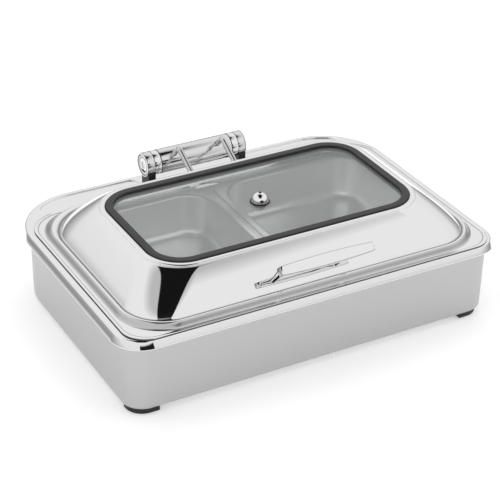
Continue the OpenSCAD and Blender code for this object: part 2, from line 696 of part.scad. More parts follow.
// Bar whose face swells from its ends to the middle
module handle_bar() {
    half = bar_l / 2;
    swell = (bar_mid_h - bar_end_h) / 2;
    steps = 16;
    curve = [for (i = [0 : steps]) let (x = -half + bar_l * i / steps)
        [x, bar_end_h / 2 + swell * (1 - pow(x / half, 2))]];
    color("gainsboro") placed() on_bar(0) linear_extrude(bar_t)
        polygon(concat(curve, [for (i = [steps : -1 : 0]) [curve[i][0], -curve[i][1]]]));
}
handle_screw_d = 4;
handle_screw_l = 11;
module handle_washers() {
    color("silver") placed() at_posts() translate([0, 0, -lid_t - washer_t - seat_lift]) difference() {
        cylinder(d = 2 * handle_screw_d, h = washer_t);
        cylinder(d = handle_screw_d + 2 * slip, h = 4 * washer_t, center = true);
    }
}
module handle_screws() {
    head_h = 3;
    color("gray") placed() at_posts() translate([0, 0, -lid_t - washer_t - seat_lift]) {
        cylinder(d = handle_screw_d, h = handle_screw_l - rest_gap);
        translate([0, 0, -head_h]) cylinder(d = 1.7 * handle_screw_d, h = head_h);
    }
}

// Hinge, turning side
bush_l = 12;
damper_l = 64;
module hinge_sleeve() {
    color("silver") placed() at_hinge() difference() {
        bar_x(barrel_d / 2, sleeve_l);
        bar_x(barrel_d / 2 - sleeve_t, 2 * sleeve_l);
    }
}
module hinge_ring(l) {
    difference() {
        bar_x(barrel_d / 2 - sleeve_t - slip / 2, l);
        bar_x(shaft_d / 2 + run_gap, 2 * l);
    }
}
module hinge_bush(side) {
    color("goldenrod") placed() at_hinge() translate([side * (sleeve_l - bush_l) / 2, 0, 0]) hinge_ring(bush_l);
}
module hinge_damper() {
    color("dimgray") placed() at_hinge() hinge_ring(damper_l);
}
module on_back_panel(x, lift) {
    translate([x, arm_foot[0], arm_foot[1]]) rotate([-arm_slope, 0, 0]) translate([0, 0, lift]) children();
}
module at_arms() {
    for (side = [-1, 1]) on_back_panel(side * arm_gap / 2, 0) children();
}
// Rod between two points of the hinge's cross plane
module rod(from, to) {
    way = to - from;
    translate([0, from[0], from[1]]) rotate([-atan2(way[0], way[1]), 0, 0])
        cylinder(d = arm_d, h = norm(way));
}
// Arm: a round foot and stud on the back panel, a rod up to the bend, and a rod down to the sleeve
module hinge_arm(side) {
    rise = arm_bend - arm_foot;
    rise_a = atan2(rise[1], rise[0]);
    fall_a = arm_end_angle - 180;
    turn = rise_a - fall_a;
    tangent = arm_bend_r * tan(turn / 2);
    from = arm_bend - tangent * [cos(rise_a), sin(rise_a)];
    to = arm_bend - tangent * arm_way;
    centre = from + arm_bend_r * [sin(rise_a), -cos(rise_a)];
    color("silver") placed() {
        on_back_panel(side * arm_gap / 2, seat_lift) {
            cylinder(d = arm_foot_d, h = arm_foot_t);
            translate([0, 0, -lid_t - washer_t - stud_out])
                cylinder(d = stud_d, h = lid_t + washer_t + stud_out + arm_foot_t / 2);
        }
        translate([side * arm_gap / 2, 0, 0]) {
            rod(arm_foot + arm_foot_t * 0.7 * [sin(arm_slope), cos(arm_slope)], from);
            rod(to, arm_end);
            translate([0, centre[0], centre[1]]) rotate([90, 0, 90]) rotate([0, 0, fall_a + 90 - bend_over])
                rotate_extrude(angle = turn + 2 * bend_over)
                    translate([arm_bend_r, 0]) circle(d = arm_d + bend_swell);
        }
    }
}
module arm_washers() {
    color("silver") placed() at_arms() translate([0, 0, -lid_t - washer_t - seat_lift]) difference() {
        cylinder(d = 2 * stud_d, h = washer_t);
        cylinder(d = stud_d + 2 * slip, h = 4 * washer_t, center = true);
    }
}
module arm_nuts() {
    nut_t = 4;
    color("gray") placed() at_arms() translate([0, 0, -lid_t - washer_t - seat_lift - nut_t]) difference() {
        cylinder(d = 1.8 * stud_d, h = nut_t, $fn = 6);
        cylinder(d = stud_d + 2 * slip, h = 4 * nut_t, center = true);
    }
}

water_tank();
rim_frame();
pan_support_bar();
base_plate();
foot_studs();
foot(-1, false);  // foot_front_left
foot(1, false);  // foot_front_right
foot(-1, true);  // foot_back_left
foot(1, true);  // foot_back_right
hinge_bracket(-1);  // hinge_bracket_left
hinge_bracket(1);  // hinge_bracket_right
hinge_collar(-1);  // hinge_collar_left
hinge_collar(1);  // hinge_collar_right
hinge_cap(-1);  // hinge_cap_left
hinge_cap(1);  // hinge_cap_right
hinge_shaft();
hinge_backing_plate();
hinge_screws();
food_pan(-1);  // food_pan_left
food_pan(1);  // food_pan_right
lid_shell();
window_gasket();
window_glass();
vent_cap();
vent_seal();
vent_washer();
vent_nut();
handle_bar();
handle_post(-1);  // handle_post_left
handle_post(1);  // handle_post_right
handle_washers();
handle_screws();
hinge_sleeve();
hinge_bush(-1);  // hinge_bush_left
hinge_bush(1);  // hinge_bush_right
hinge_damper();
hinge_arm(-1);  // hinge_arm_left
hinge_arm(1);  // hinge_arm_right
arm_washers();
arm_nuts();
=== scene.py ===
import math

import bmesh
import bpy
from mathutils import Matrix, Vector


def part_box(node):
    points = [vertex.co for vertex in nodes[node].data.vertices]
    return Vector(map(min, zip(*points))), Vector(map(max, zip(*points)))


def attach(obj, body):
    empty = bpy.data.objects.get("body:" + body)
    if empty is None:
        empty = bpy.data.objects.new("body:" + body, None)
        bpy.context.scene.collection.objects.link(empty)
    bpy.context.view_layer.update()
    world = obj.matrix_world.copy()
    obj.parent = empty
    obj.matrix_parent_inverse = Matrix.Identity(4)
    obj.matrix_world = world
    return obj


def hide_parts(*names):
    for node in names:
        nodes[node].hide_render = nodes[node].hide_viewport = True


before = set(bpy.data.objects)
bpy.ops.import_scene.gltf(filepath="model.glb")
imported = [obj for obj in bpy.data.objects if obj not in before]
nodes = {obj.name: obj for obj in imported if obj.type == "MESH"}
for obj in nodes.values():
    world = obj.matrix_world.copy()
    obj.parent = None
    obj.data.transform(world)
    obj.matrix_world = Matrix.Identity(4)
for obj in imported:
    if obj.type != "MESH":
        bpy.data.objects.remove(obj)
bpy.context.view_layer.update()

# Camera: a long lens from the front left, above the dish. Its place was fitted to the photograph.
# Distances are metres in the dish's own frame, with the table at zero height.
azimuth, elevation, roll = (math.radians(a) for a in (-29.54, 30.50, 1.10))
camera_place = (-1.02995, -1.81646, 1.31226)
flat_part = math.cos(elevation)
away = Vector((math.sin(azimuth) * flat_part, -math.cos(azimuth) * flat_part, math.sin(elevation)))
level = Vector((0, 0, 1)).cross(away).normalized()
upright = away.cross(level)
image_x = math.cos(roll) * level + math.sin(roll) * upright
image_y = math.cos(roll) * upright - math.sin(roll) * level
lens = bpy.data.cameras.new("camera")
lens.sensor_width = 36
lens.lens = 117.9
lens.dof.use_dof = False
camera = bpy.data.objects.new("camera", lens)
camera_turn = Matrix((image_x, image_y, away)).transposed().to_4x4()
camera.matrix_world = Matrix.Translation(camera_place) @ camera_turn
bpy.context.collection.objects.link(camera)
bpy.context.scene.camera = camera
bpy.context.scene.view_settings.view_transform = "Standard"


# Studio: a white floor inside a pale, even room, as for a catalogue picture.
# The floor glows a little, painted light that lifts the shadows cast on it; it fades to grey away from the
# dish.
# The room is greyer overhead and at the horizon, and has one unlit gap, bounded by planes through the dish,
# which the polished steel mirrors as black.
def material(name, color, metallic, roughness):
    mat = bpy.data.materials.new(name)
    mat.use_nodes = True
    shader = mat.node_tree.nodes["Principled BSDF"]
    shader.inputs["Base Color"].default_value = (*color, 1)
    shader.inputs["Metallic"].default_value = metallic
    shader.inputs["Roughness"].default_value = roughness
    return mat


def set_greys(ramp, stops):
    while len(ramp.elements) < len(stops):
        ramp.elements.new(1)
    for element, (place, grey) in zip(ramp.elements, stops):
        element.position, element.color = place, (grey, grey, grey, 1)


floor_half, floor_drop = 3.5, 0.0002
floor_corners = ((-1, -1), (1, -1), (1, 1), (-1, 1))
floor_mesh = bpy.data.meshes.new("floor")
floor_mesh.from_pydata([(x * floor_half, y * floor_half, -floor_drop) for x, y in floor_corners],
                       [], [(0, 1, 2, 3)])
glowing_floor = material("glowing_floor", (0.92, 0.92, 0.92), 0, 0.9)
tree = glowing_floor.node_tree
shader = tree.nodes["Principled BSDF"]
# Painted light: the floor glows a little, which lifts the shadows cast on it.
shader.inputs["Emission Strength"].default_value = 0.4
from_middle = tree.nodes.new("ShaderNodeVectorMath")
from_middle.operation = "LENGTH"
way_out = tree.nodes.new("ShaderNodeMapRange")
way_out.inputs["From Max"].default_value = floor_half
fade = tree.nodes.new("ShaderNodeValToRGB")
set_greys(fade.color_ramp, ((0.39, 0.92), (0.60, 0.40)))
tree.links.new(tree.nodes.new("ShaderNodeTexCoord").outputs["Object"], from_middle.inputs[0])
tree.links.new(from_middle.outputs["Value"], way_out.inputs["Value"])
tree.links.new(way_out.outputs["Result"], fade.inputs["Fac"])
tree.links.new(fade.outputs["Color"], shader.inputs["Base Color"])
tree.links.new(fade.outputs["Color"], shader.inputs["Emission Color"])
floor_mesh.materials.append(glowing_floor)
floor = bpy.data.objects.new("floor", floor_mesh)
bpy.context.collection.objects.link(floor)

world = bpy.data.worlds.new("studio")
world.use_nodes = True
room = world.node_tree


def room_node(kind, operation, *values):
    node = room.nodes.new(kind)
    node.operation = operation
    for socket, value in zip(node.inputs, values):
        if isinstance(value, bpy.types.NodeSocket):
            room.links.new(value, socket)
        else:
            socket.default_value = value
    return node.outputs["Value"]


def room_product(a, b):
    return room_node("ShaderNodeMath", "MULTIPLY", a, b)


def room_step(value, low, high):
    step = room.nodes.new("ShaderNodeMapRange")
    step.interpolation_type = "SMOOTHSTEP"
    step.inputs["From Min"].default_value = low
    step.inputs["From Max"].default_value = high
    room.links.new(value, step.inputs["Value"])
    return step.outputs["Result"]


def room_side(plane, edge):
    return room_step(room_node("ShaderNodeVectorMath", "DOT_PRODUCT", direction, plane), -edge, edge)


direction = room.nodes.new("ShaderNodeTexCoord").outputs["Generated"]
direction_parts = room.nodes.new("ShaderNodeSeparateXYZ")
room.links.new(direction, direction_parts.inputs["Vector"])
height = direction_parts.outputs["Z"]
sharp_edge, soft_edge = 0.012, 0.02
gap_left = room_side((1, -0.43, 0.29), sharp_edge)
gap_back = room_side((-1.104, -1, 0.52), soft_edge)
gap_over = room_product(room_side((-1, 0.535, 0.41), sharp_edge), room_side((0.38, 0.45, 0.41), soft_edge))
gap_front = room_product(room_side((-0.951, -0.309, 0), sharp_edge), room_step(height, 0.46, 0.40))
gap_reach = room_node("ShaderNodeMath", "MAXIMUM", gap_over, gap_front)
gap = room_product(room_product(gap_left, gap_back), gap_reach)
gap_depth = 0.985
lit = room_node("ShaderNodeMath", "SUBTRACT", 1, room_product(gap, gap_depth))
room_grey = room.nodes.new("ShaderNodeValToRGB")
room_greys = ((0, 0.30), (0.16, 0.55), (0.30, 0.80), (0.55, 0.86), (0.82, 0.86), (0.91, 0.52))
set_greys(room_grey.color_ramp, room_greys)
room.links.new(height, room_grey.inputs["Fac"])
room.links.new(room_grey.outputs["Color"], room.nodes["Background"].inputs["Color"])
room.links.new(lit, room.nodes["Background"].inputs["Strength"])
bpy.context.scene.world = world
overhead = bpy.data.lights.new("overhead", "AREA")
overhead.size = 3.5
overhead.energy = 45
lamp = bpy.data.objects.new("overhead", overhead)
lamp.location = (0, 0, 4)
lamp.visible_glossy = False
bpy.context.collection.objects.link(lamp)


# Rubber feet: four moulded pads, pushed onto steel studs that are welded under the tank's floor.
# Matt black rubber with a fine moulded grain; the outer corner of each follows the tank's corner.
# Sizes from here on are millimetres.
def grained(mat, scale, strength, stretch=(1, 1, 1), roughness=None, depth=0.0002):
    tree = mat.node_tree
    shader = tree.nodes["Principled BSDF"]
    coords = tree.nodes.new("ShaderNodeTexCoord")
    mapping = tree.nodes.new("ShaderNodeMapping")
    mapping.inputs["Scale"].default_value = stretch
    noise = tree.nodes.new("ShaderNodeTexNoise")
    noise.inputs["Scale"].default_value = scale
    noise.inputs["Detail"].default_value = 4
    bump = tree.nodes.new("ShaderNodeBump")
    bump.inputs["Strength"].default_value = strength
    bump.inputs["Distance"].default_value = depth
    tree.links.new(coords.outputs["Object"], mapping.inputs["Vector"])
    tree.links.new(mapping.outputs["Vector"], noise.inputs["Vector"])
    tree.links.new(noise.outputs["Fac"], bump.inputs["Height"])
    tree.links.new(bump.outputs["Normal"], shader.inputs["Normal"])
    if roughness:
        spread = tree.nodes.new("ShaderNodeMapRange")
        spread.inputs["To Min"].default_value, spread.inputs["To Max"].default_value = roughness
        tree.links.new(noise.outputs["Fac"], spread.inputs["Value"])
        tree.links.new(spread.outputs["Result"], shader.inputs["Roughness"])
    return mat


def span(node):
    low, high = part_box(node)
    return low * 1000, high * 1000


def piece(name, points, faces, mat, slot, body, node, sharp=30):
    mesh = bpy.data.meshes.new(name)
    mesh.from_pydata([tuple(c / 1000 for c in p) for p in points], [], faces)
    surface = bmesh.new()
    surface.from_mesh(mesh)
    bmesh.ops.remove_doubles(surface, verts=surface.verts, dist=1e-7)
    bmesh.ops.recalc_face_normals(surface, faces=surface.faces)
    surface.to_mesh(mesh)
    surface.free()
    mesh.shade_smooth()
    mesh.set_sharp_from_angle(angle=math.radians(sharp))
    mesh.materials.append(mat)
    obj = bpy.data.objects.new(name, mesh)
    bpy.context.collection.objects.link(obj)
    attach(obj, body)
    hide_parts(node)
    return obj


def dressed(mat, slot, *names):
    for name in names:
        nodes[name].data.materials.clear()
        nodes[name].data.materials.append(mat)


def loft(rings, closed=False, start=False, end=False):
    n = len(rings[0])
    points = [p for ring_points in rings for p in ring_points]
    faces = []
    for k in range(len(rings) - (0 if closed else 1)):
        a, b = k * n, (k + 1) % len(rings) * n
        faces += [(a + i, a + (i + 1) % n, b + (i + 1) % n, b + i) for i in range(n)]
    if start:
        faces.append(tuple(range(n))[::-1])
    if end:
        faces.append(tuple(range(len(points) - n, len(points))))
    return points, faces


def arc(x, y, r, start, stop, steps):
    angles = [math.radians(start + (stop - start) * i / steps) for i in range(steps + 1)]
    return [(x + r * math.cos(a), y + r * math.sin(a)) for a in angles]


rubber = grained(material("rubber", (0.010, 0.010, 0.011), 0, 0.55), 900, 0.25)
plain_steel = grained(material("plain_steel", (0.50, 0.50, 0.51), 1, 0.35), 500, 0.05, roughness=(0.28, 0.42))
foot_edge, foot_r = 0.9, 26.4
for name in ("foot_front_left", "foot_front_right", "foot_back_left", "foot_back_right"):
    low, high = span(name)
    x_side = 1 if "right" in name else -1
    y_side = 1 if "back" in name else -1
    corner_x = high.x if x_side > 0 else low.x
    corner_y = high.y if y_side > 0 else low.y
    long, wide = high.x - low.x, high.y - low.y
    outline = [(-long, -wide), (0, -wide)] + arc(-foot_r, -foot_r, foot_r, 0, 90, 16) + [(-long, 0)]
    rings = []
    for inset, z in ((foot_edge, low.z), (0, low.z + foot_edge),
                     (0, high.z - foot_edge / 2), (foot_edge / 2, high.z)):
        share_x, share_y = 1 - 2 * inset / long, 1 - 2 * inset / wide
        rings.append([(corner_x + x_side * ((x + long / 2) * share_x - long / 2),
                       corner_y + y_side * ((y + wide / 2) * share_y - wide / 2), z) for x, y in outline])
    piece(name + "_pad", *loft(rings, start=True, end=True), rubber, "rubber", "base", name)
dressed(plain_steel, "plain_steel", "foot_studs")


# Water tank: one deep-drawn stainless box with a rounded lower edge, open at the top under the rim.
# Its outside is brushed; the fine lines run level round the walls.
def ring(hx, hy, r_front, r_back, z, y0, steps=16):
    points = []
    for corner in range(4):
        r = r_back if corner < 2 else r_front
        corner_x = (hx - r) * (1 if corner in (0, 3) else -1)
        corner_y = y0 + (hy - r) * (1 if corner < 2 else -1)
        points += [(x, y, z) for x, y in arc(corner_x, corner_y, r, 90 * corner, 90 * corner + 90, steps)]
    return points


sheet_t = 1.2
rim_low, rim_high = span("rim_frame")
rim_hx, rim_hy, rim_y = rim_high.x, (rim_high.y - rim_low.y) / 2, (rim_high.y + rim_low.y) / 2
rim_r_front, rim_r_back = 45, 105
tank_low, tank_high = span("water_tank")
tank_in = rim_hx - tank_high.x
tank_lean, tank_edge_r = 1.2, 9
brushed = grained(material("brushed_steel", (0.51, 0.51, 0.515), 1, 0.36), 60, 0.06, (1, 1, 40), (0.30, 0.42))
brushed.node_tree.nodes["Principled BSDF"].inputs["Anisotropic"].default_value = 0.4


def tank_ring(inset, z):
    r_front, r_back = rim_r_front - tank_in - inset, rim_r_back - tank_in - inset
    return ring(tank_high.x - inset, (tank_high.y - tank_low.y) / 2 - inset, r_front, r_back, z, rim_y, 24)


knee = (-tank_lean - tank_edge_r, tank_low.z + tank_edge_r)
wall = [tank_ring(-x, z) for x, z in arc(*knee, tank_edge_r - sheet_t, -90, 0, 10)]
wall += [tank_ring(sheet_t, tank_high.z), tank_ring(0, tank_high.z)]
wall += [tank_ring(-x, z) for x, z in arc(*knee, tank_edge_r, 0, -90, 10)]
piece("tank_shell", *loft(wall, start=True, end=True), brushed, "brushed_steel", "base", "water_tank")

# Base plate: a flat magnetic steel plate, bonded under the tank's floor so that the dish works on a hob.
# It stays plain, ground steel, and shows only from below.
dressed(plain_steel, "plain_steel", "base_plate")


# Rim frame: one pressed stainless frame over the tank, mirror polished, with a rounded shoulder, a sloping
# face and a small curl at its foot. A stepped well takes the pans, and a shallow drip trough lies each side
# of the hinge.
# Painted shade: a per-point painted_shade value darkens the base colour towards near black, and raises the
# roughness, at creases, steps and small edges, where shade and dark reflections fall.
def with_painted_shade(mat, tone, roughness):
    tree = mat.node_tree
    painted_shade = tree.nodes.new("ShaderNodeAttribute")
    painted_shade.attribute_name = "painted_shade"
    for socket, (unshaded, shaded) in (("Base Color", tone), ("Roughness", roughness)):
        spread = tree.nodes.new("ShaderNodeMapRange")
        spread.inputs["To Min"].default_value, spread.inputs["To Max"].default_value = unshaded, shaded
        tree.links.new(painted_shade.outputs["Fac"], spread.inputs["Value"])
        tree.links.new(spread.outputs["Result"], tree.nodes["Principled BSDF"].inputs[socket])
    return mat


# Stores each point's painted shade value.
def shade(obj, values):
    obj.data.attributes.new("painted_shade", "FLOAT", "POINT").data.foreach_set("value", values)


def thickened(obj, t):
    sheet = obj.modifiers.new("sheet", "SOLIDIFY")
    sheet.thickness = t / 1000
    sheet.offset = -1


mirror_steel = (0.92, 0.92, 0.915)
polished = grained(material("polished_steel", mirror_steel, 1, 0.04), 6, 0.02, roughness=(0.03, 0.05))
# Mirror steel with painted shade: darkened in colour wherever the painted_shade value is set.
shade_painted = with_painted_shade(grained(material("shade_painted_steel", mirror_steel, 1, 0.04), 6, 0.02), (0.92, 0.10), (0.04, 0.5))
rim_top, rim_drop, rim_curl = rim_high.z, 12, 1.2
shoulder_in, shoulder_r, face_turn = 9, 5, 30
lid_low, lid_high = span("lid_shell")
lid_hx, lid_hy, lid_y = lid_high.x, (lid_high.y - lid_low.y) / 2, (lid_high.y + lid_low.y) / 2
well_hx, well_hy, well_r, well_d, seat_w = 265, 162.5, 32, 3, 9
trough_in, trough_d, trough_r, trough_front, trough_inner = 14.1, 2, 14, 4, 88.2
fillet, strip = 0.7, 0.5
frame_mesh = bmesh.new()


def rim_ring(inset, z):
    return ring(rim_hx - inset, rim_hy - inset, rim_r_front - inset, rim_r_back - inset, z, rim_y, 24)


def well_ring(inset, z):
    r = well_r if inset == seat_w else well_r - inset
    return ring(well_hx - inset, well_hy - inset, r, r, z, lid_y, 8)


def trough_ring(side, grow, z):
    front = lid_high.y + trough_front - grow
    back = rim_high.y - trough_in + grow
    inner_x = trough_inner - grow
    r = trough_r + grow
    bend_x, bend_y = rim_hx - rim_r_back, rim_high.y - rim_r_back
    bend_r = rim_r_back - trough_in + grow
    tip_up = front + r - bend_y
    tip_x = bend_x + math.sqrt((bend_r - r) ** 2 - tip_up ** 2)
    meet = math.degrees(math.atan2(tip_up, tip_x - bend_x))
    points = arc(inner_x + r, front + r, r, 180, 270, 6) + arc(tip_x, front + r, r, -90, meet, 14)
    points += arc(bend_x, bend_y, bend_r, meet, 90, 12)[1:] + arc(inner_x + r, back - r, r, 90, 180, 6)
    return [(side * x, y, z) for x, y in points]


def pressed(rings):
    loops = [[frame_mesh.verts.new([c / 1000 for c in p]) for p in ring_points] for ring_points in rings]
    for a, b in zip(loops, loops[1:]):
        for i in range(len(a)):
            j = (i + 1) % len(a)
            frame_mesh.faces.new((a[i], a[j], b[j], b[i]))
    return loops


def edges_of(loop):
    return [frame_mesh.edges.get((loop[i], loop[(i + 1) % len(loop)])) for i in range(len(loop))]


curl_z = rim_top - rim_drop + rim_curl
outer = [rim_ring(rim_curl - x, curl_z + z) for x, z in arc(0, 0, rim_curl, -90, face_turn, 8)]
outer += [rim_ring(shoulder_in - x, rim_top + z) for x, z in arc(0, -shoulder_r, shoulder_r, face_turn, 90, 10)]
outer.append(rim_ring(shoulder_in + strip, rim_top))
seat_z = rim_top - well_d
well = [well_ring(-fillet - strip, rim_top)]
well += [well_ring(x - fillet, rim_top - fillet + z) for x, z in arc(0, 0, fillet, 90, 0, 4)]
well += [well_ring(0, seat_z), well_ring(seat_w, seat_z), well_ring(seat_w, seat_z - sheet_t)]
boundary = edges_of(pressed(outer)[-1]) + edges_of(pressed(well)[0])
for side in (-1, 1):
    trough_z = rim_top - trough_d
    trough = [trough_ring(side, fillet + strip, rim_top)]
    trough += [trough_ring(side, fillet - x, rim_top - fillet + z) for x, z in arc(0, 0, fillet, 90, 0, 4)]
    trough += [trough_ring(side, x - fillet, trough_z + fillet + z) for x, z in arc(0, 0, fillet, 0, -90, 4)]
    trough.append(trough_ring(side, -fillet - strip, trough_z))
    loops = pressed(trough)
    frame_mesh.faces.new(loops[-1])
    boundary += edges_of(loops[0])
bmesh.ops.triangle_fill(frame_mesh, use_beauty=True, edges=boundary)
bmesh.ops.recalc_face_normals(frame_mesh, faces=frame_mesh.faces)
if sum(f.normal.z * f.calc_area() for f in frame_mesh.faces) < 0:
    bmesh.ops.reverse_faces(frame_mesh, faces=frame_mesh.faces)
frame_mesh.verts.index_update()
rim_points = [tuple(c * 1000 for c in v.co) for v in frame_mesh.verts]
rim_faces = [tuple(v.index for v in f.verts) for f in frame_mesh.faces]
frame_mesh.free()
rim_skin = piece("rim_skin", rim_points, rim_faces, polished, "polished_steel", "base", "rim_frame", 40)
thickened(rim_skin, sheet_t)

# Pan support bar: a flat stainless bar across the well, under the flanges of the two pans where they meet.
# Its ends are welded under the seat.
pan_steel = grained(material("pan_steel", (0.90, 0.90, 0.90), 1, 0.34), 14, 0.03, roughness=(0.30, 0.40))
dressed(pan_steel, "pan_steel", "pan_support_bar")

# Food pans: two equal pans drawn from thin stainless sheet, with a flat flange and a turned-down lip.
# They rest in the well side by side and lift straight out.
pan_t, pan_depth, pan_taper, pan_flange, pan_lip, lip_r = 0.9, 65, 6, 13, 2, 0.8
pan_corner_r, pan_r, brim_r, pan_floor_r = 31, 46, 5, 15
brim_flat, floor_flat = 0.5, 1
lean = math.atan2(pan_taper, pan_depth)
lean_turn = math.degrees(lean)
floor_z = pan_floor_r - pan_depth
drop = floor_z - pan_floor_r * math.sin(lean) + brim_r * (1 - math.sin(lean))
floor_out = brim_r * (1 - math.cos(lean)) + drop * math.tan(lean) - pan_floor_r * math.cos(lean)
flange = [(pan_flange, -pan_lip)] + arc(pan_flange - lip_r, -lip_r, lip_r, 0, 90, 4)
bowl = [(brim_r + brim_flat, 0)] + arc(brim_r, -brim_r, brim_r, 90, 180 - lean_turn, 8)
bowl += arc(floor_out, floor_z, pan_floor_r, -lean_turn, -90, 10) + [(floor_out - floor_flat, -pan_depth)]
profile = [(u, z, pan_corner_r) for u, z in flange] + [(u, z, pan_r + u) for u, z in bowl]
for side, body in (("left", "left_pan"), ("right", "right_pan")):
    low, high = span("food_pan_" + side)
    middle_x, middle_y = (high.x + low.x) / 2, (high.y + low.y) / 2
    bowl_hx, bowl_hy = (high.x - low.x) / 2 - pan_flange, (high.y - low.y) / 2 - pan_flange
    rings = []
    for u, z, r in profile:
        level_ring = ring(bowl_hx + u, bowl_hy + u, r, r, high.z + z, middle_y, 12)
        rings.append([(middle_x + x, y, z) for x, y, z in level_ring])
    pan = piece("pan_" + side, *loft(rings, end=True), pan_steel, "pan_steel", body, "food_pan_" + side, 40)
    if sum(p.normal.z * p.area for p in pan.data.polygons) < 0:
        pan.data.flip_normals()
    thickened(pan, pan_t)


# Hinge, fixed side: a backing plate and screws under the ledge hold two brackets, each a satin ring on a
# pedestal coloured near black as painted shade, for the deep shadow under the barrel. Polished collars and
# dished caps close the barrel round the steel shaft. The rounded edges of the turned rings and the caps' end
# faces carry painted shade as dark lines.
def turned(profile, place, axis, steps=64):
    axis = Vector(axis).normalized()
    across = axis.orthogonal().normalized()
    other = axis.cross(across)
    angles = [2 * math.pi * i / steps for i in range(steps)]
    rings = []
    for r, h in profile:
        middle = Vector(place) + axis * h
        rings.append([middle + r * (math.cos(a) * across + math.sin(a) * other) for a in angles])
    return rings


def barrel_ring(outer_r, inner_r, low, high):
    profile = [(inner_r, low)]
    profile += arc(outer_r - ring_edge, low + ring_edge, ring_edge, -90, 0, 4)
    profile += arc(outer_r - ring_edge, high - ring_edge, ring_edge, 0, 90, 4)
    return profile + [(inner_r, high)]


def barrel_piece(name, profile, painted_shade, mat, slot, body, node, hollow=True, steps=64):
    rings = turned(profile, (0, hinge_y, hinge_z), (1, 0, 0), steps)
    shape = loft(rings, closed=hollow, start=not hollow, end=not hollow)
    shade(piece(name, *shape, mat, slot, body, node), [d for d in painted_shade for k in range(steps)])


dressed(plain_steel, "plain_steel", "hinge_backing_plate", "hinge_screws", "hinge_shaft")
sleeve_low, sleeve_high = span("hinge_sleeve")
barrel_r = (sleeve_high.z - sleeve_low.z) / 2
hinge_y, hinge_z = (sleeve_high.y + sleeve_low.y) / 2, (sleeve_high.z + sleeve_low.z) / 2
bore_r, ring_edge = 6.1, 0.7
satin = grained(material("satin_steel", (0.80, 0.80, 0.795), 1, 0.12), 70, 0.003, (40, 1, 1))
# Its colour darkens at the rings' rounded edges: painted shade, as thin dark lines.
satin = with_painted_shade(satin, (0.80, 0.06), (0.11, 0.4))
# Pedestal steel coloured near black: painted shade for the deep shadow between the barrel and the lid.
shadow_black_steel = grained(material("shadow_black_steel", (0.05, 0.05, 0.05), 1, 0.35), 300, 0.05, roughness=(0.3, 0.4))
# Painted shade along each turned ring: dark lines at its rounded edges.
ring_edge_shade = (0, 0, 0.9, 0.9, 0.7, 0, 0, 0.7, 0.9, 0.9, 0, 0)
pedestal_w, pedestal_step, pedestal_sink = 24, 0.5, 8
spigot_r, spigot_l, cap_seat, cap_edge = 11, 3, 3, 0.8
cap_dish = ((2.2, 0), (2.6, 0.8), (6, 1.3))
cap_middle_r, cap_middle_d = 4, 2.2
# Painted shade on the caps: a grey end face with a dark ring line.
cap_shade = (0, 0, 0.6, 0.3, 0, 0, 0.4, 0.4, 0, 0.3, 0.8, 0.35, 0.35)
for side, sign in (("left", -1), ("right", 1)):
    low, high = span("hinge_collar_" + side)
    barrel_piece("collar_" + side, barrel_ring(barrel_r, bore_r, low.x, high.x), ring_edge_shade,
                 shade_painted, "polished_steel", "base", "hinge_collar_" + side)
    low, high = span("hinge_bracket_" + side)
    barrel_piece("bracket_" + side, barrel_ring(barrel_r, bore_r, low.x, high.x), ring_edge_shade,
                 satin, "brushed_steel", "base", "hinge_bracket_" + side)
    front = hinge_y - barrel_r + pedestal_step
    back = front + pedestal_w
    block = [[(low.x, front, z), (high.x, front, z), (high.x, back, z), (low.x, back, z)]
             for z in (low.z, hinge_z - pedestal_sink)]
    piece("pedestal_" + side, *loft(block, start=True, end=True),
          shadow_black_steel, "brushed_steel", "base", "hinge_bracket_" + side)
    low, high = span("hinge_cap_" + side)
    face, seat = (low.x, high.x - cap_seat) if sign < 0 else (high.x, low.x + cap_seat)
    profile = [(spigot_r, seat - sign * spigot_l), (spigot_r, seat), (barrel_r, seat)]
    rounding = arc(barrel_r - cap_edge, -cap_edge, cap_edge, 0, 90, 5)
    profile += [(r, face + sign * h) for r, h in rounding]
    profile += [(barrel_r - u, face - sign * d) for u, d in cap_dish]
    profile.append((cap_middle_r, face - sign * cap_middle_d))
    barrel_piece("cap_" + side, profile, cap_shade,
                 shade_painted, "polished_steel", "base", "hinge_cap_" + side, hollow=False)

# Lid shell: one pressed stainless sheet, mirror polished: hemmed flange, riser, crease, curved steep panels and
# a bead round the window. Each line of the pressing has its insets at ends and sides, its height, its stage
# from the edge inwards, which gives the corner radii, and how much painted shade darkens it.
# Painted shade: the crease and the riser are darkened in colour, and so are the hem's cut edge and the step
# inside it, where the shadow line under the flange falls; the cut edge is also rougher, as a sheared edge is.
lid_t, riser_h, crease_w, crease_d, crease_shade = 1.2, 8.4, 5, 1.8, 0.8
hem_w, hem_step, hem_edge, hem_soft, hem_dip, hem_shade = 4.2, 0.5, 0.3, 0.4, 0.1, 0.6
flange_in, riser_in, ledge_in, flange_reach = (8.3, 2.2), (16.8, 7.8), (19.1, 9.6), 5
riser_pulls, riser_shade = (0.3, 0.7), 0.42
panel_h, panel_run, panel_run_end = 42, 46.7, 48.5
foot_slope, top_slope, foot_pull, top_pull = math.radians(56), math.radians(22), 16, 14
bead_w, bead_h, window_r, gasket_w, seat_lip, seat_play = 9, 2.4, 52, 11, 2, 0.1
corner_stages = [(0, 36, 50), (0.1, 66, 68), (0.6, 66, 78), (0.8, 63, 84), (1, 59, 88),
                 (2, 61, 61), (3, window_r, window_r), (4, 43, 43)]
panel_foot, panel_top = Vector((0, 0)), Vector((panel_run, panel_h))
panel_curve = (panel_foot, panel_foot + foot_pull * Vector((math.cos(foot_slope), math.sin(foot_slope))),
               panel_top - top_pull * Vector((math.cos(top_slope), math.sin(top_slope))), panel_top)


def bezier(t):
    weights = ((1 - t) ** 3, 3 * t * (1 - t) ** 2, 3 * t * t * (1 - t), t ** 3)
    return sum((w * p for w, p in zip(weights, panel_curve)), Vector((0, 0)))


